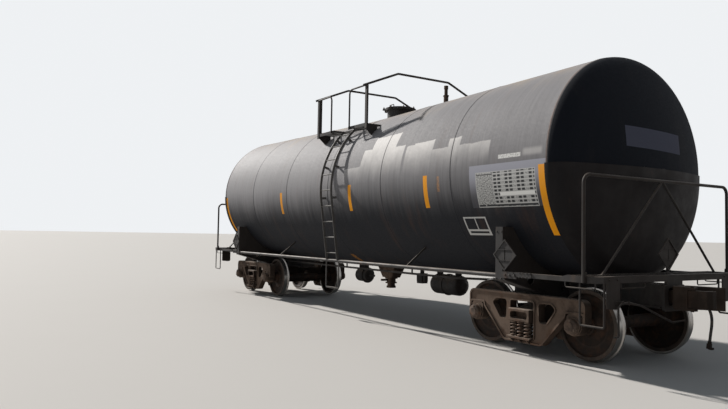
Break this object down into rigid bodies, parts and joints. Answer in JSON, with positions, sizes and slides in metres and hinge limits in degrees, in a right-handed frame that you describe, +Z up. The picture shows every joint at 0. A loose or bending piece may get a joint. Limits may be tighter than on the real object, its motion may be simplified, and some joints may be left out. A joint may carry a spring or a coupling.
{
  "type": "railway tank car",
  "caption": "Four-axle railway tank car: a cylindrical tank sloped to the middle on stub sills, with swivelling trucks, turning wheelsets, swinging couplers and a hinged manway lid.",
  "frame": {"origin": "middle of the car at the bottom of the wheel flanges; the rail top is 27 mm above it", "axes": "+X along the car towards its A end, +Y to the A end's left side, +Z up"},
  "size_m": [13.656, 3.326, 4.703],
  "materials": {
    "tank_paint": "weathered semi-gloss black",
    "shield_paint": "weathered matt black",
    "frame_paint": "weathered matt black",
    "cast_steel": "dusty rust-brown casting",
    "spring_steel": "dull coil steel",
    "hose_rubber": "matt black hose",
    "wheel_steel": "rusty sides, worn tread"
  },
  "bodies": {
    "car_body": {"tank_shell": "tank_paint", "head_shields": "shield_paint", "stub_sills": "frame_paint", "body_bolsters": "frame_paint", "end_frames": "frame_paint", "end_handrails": "frame_paint", "side_pipes": "frame_paint", "ladders": "frame_paint", "ladder_stirrups": "frame_paint", "corner_steps": "frame_paint", "grab_irons": "frame_paint", "placard_holders": "frame_paint", "top_walkway": "frame_paint", "top_railing": "frame_paint", "manway_nozzle": "frame_paint", "relief_valve": "cast_steel", "bottom_outlet": "cast_steel", "brake_cylinder": "frame_paint", "air_reservoir": "frame_paint", "control_valve": "frame_paint", "brake_pipe": "frame_paint", "hand_brake_case": "frame_paint", "cut_levers": "frame_paint", "gladhand_a": "cast_steel", "air_hose_a": "hose_rubber"},
    "manway_lid_body": {"manway_lid": "frame_paint"},
    "hand_brake_wheel_body": {"hand_brake_wheel": "frame_paint"},
    "truck_a": {"side_frames_a": "cast_steel", "truck_bolster_a": "cast_steel", "springs_a": "spring_steel", "bearing_cups_a": "cast_steel", "bearing_adapters_a": "cast_steel", "brake_beams_a": "cast_steel"},
    "axle_a_outer": {"wheelset_a_outer": "wheel_steel"},
    "axle_a_inner": {"wheelset_a_inner": "wheel_steel"},
    "coupler_a_body": {"coupler_a": "cast_steel"},
    "knuckle_a_body": {"knuckle_a": "cast_steel"},
    "truck_b": {"side_frames_b": "cast_steel", "truck_bolster_b": "cast_steel", "springs_b": "spring_steel", "bearing_cups_b": "cast_steel", "bearing_adapters_b": "cast_steel", "brake_beams_b": "cast_steel"},
    "axle_b_outer": {"wheelset_b_outer": "wheel_steel"},
    "axle_b_inner": {"wheelset_b_inner": "wheel_steel"},
    "coupler_b_body": {"coupler_b": "cast_steel"},
    "knuckle_b_body": {"knuckle_b": "cast_steel"}
  },
  "joints": [
    {"name": "truck_a_swivel", "type": "hinge", "parent": "car_body", "child": "truck_a", "pos_m": [4.715, 0, 0.679], "axis": [0, 0, 1], "range_deg": [-10, 10]},
    {"name": "axle_a_outer_spin", "type": "hinge", "parent": "truck_a", "child": "axle_a_outer", "pos_m": [5.604, 0, 0.484], "axis": [0, 1, 0], "continuous": true},
    {"name": "axle_a_inner_spin", "type": "hinge", "parent": "truck_a", "child": "axle_a_inner", "pos_m": [3.826, 0, 0.484], "axis": [0, 1, 0], "continuous": true},
    {"name": "coupler_a_swing", "type": "hinge", "parent": "car_body", "child": "coupler_a_body", "pos_m": [5.85, 0, 0.882], "axis": [0, 0, 1], "range_deg": [-7, 7]},
    {"name": "knuckle_a_open", "type": "hinge", "parent": "coupler_a_body", "child": "knuckle_a_body", "pos_m": [6.6, -0.12, 0.882], "axis": [0, 0, -1], "range_deg": [0, 50]},
    {"name": "truck_b_swivel", "type": "hinge", "parent": "car_body", "child": "truck_b", "pos_m": [-4.715, 0, 0.679], "axis": [0, 0, 1], "range_deg": [-10, 10]},
    {"name": "axle_b_outer_spin", "type": "hinge", "parent": "truck_b", "child": "axle_b_outer", "pos_m": [-5.604, 0, 0.484], "axis": [0, 1, 0], "continuous": true},
    {"name": "axle_b_inner_spin", "type": "hinge", "parent": "truck_b", "child": "axle_b_inner", "pos_m": [-3.826, 0, 0.484], "axis": [0, 1, 0], "continuous": true},
    {"name": "coupler_b_swing", "type": "hinge", "parent": "car_body", "child": "coupler_b_body", "pos_m": [-5.85, 0, 0.882], "axis": [0, 0, 1], "range_deg": [-7, 7]},
    {"name": "knuckle_b_open", "type": "hinge", "parent": "coupler_b_body", "child": "knuckle_b_body", "pos_m": [-6.6, 0.12, 0.882], "axis": [0, 0, -1], "range_deg": [0, 50]},
    {"name": "manway_lid_hinge", "type": "hinge", "parent": "car_body", "child": "manway_lid_body", "pos_m": [0.25, 0.372, 4.193], "axis": [-1, 0, 0], "range_deg": [0, 105]},
    {"name": "hand_brake_turn", "type": "hinge", "parent": "car_body", "child": "hand_brake_wheel_body", "pos_m": [-6.33, 0.9, 1.927], "axis": [-1, 0, 0], "continuous": true}
  ]
}
